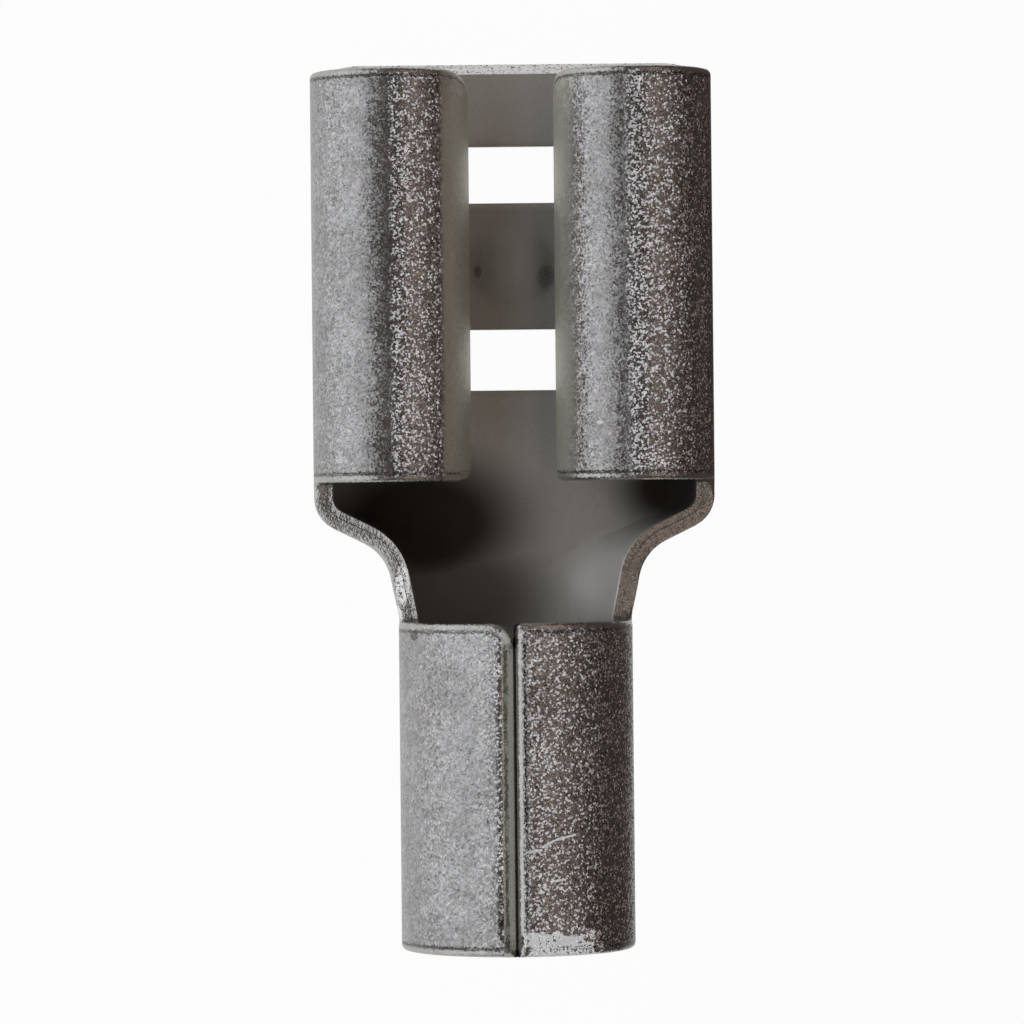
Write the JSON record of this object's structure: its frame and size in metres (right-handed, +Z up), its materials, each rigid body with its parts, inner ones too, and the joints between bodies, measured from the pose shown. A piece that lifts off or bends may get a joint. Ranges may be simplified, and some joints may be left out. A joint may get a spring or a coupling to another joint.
{
  "type": "female spade terminal",
  "caption": "Bare female spade terminal of tin-plated sheet: curled receptacle for a flat tab, open neck and round butted wire barrel.",
  "frame": {"origin": "middle of the overall box, on the flat underside that it lies on", "axes": "+Y out of the mouth where the tab goes in, -Y out of the wire barrel, +X across to the right roll, +Z up from the base to the rolls"},
  "size_m": [0.008, 0.0176, 0.0046],
  "materials": {
    "tin_plate": "matte tin plating over sheet brass, fine grained, stained and scratched"
  },
  "bodies": {
    "root": {"terminal": "tin_plate"}
  },
  "joints": []
}
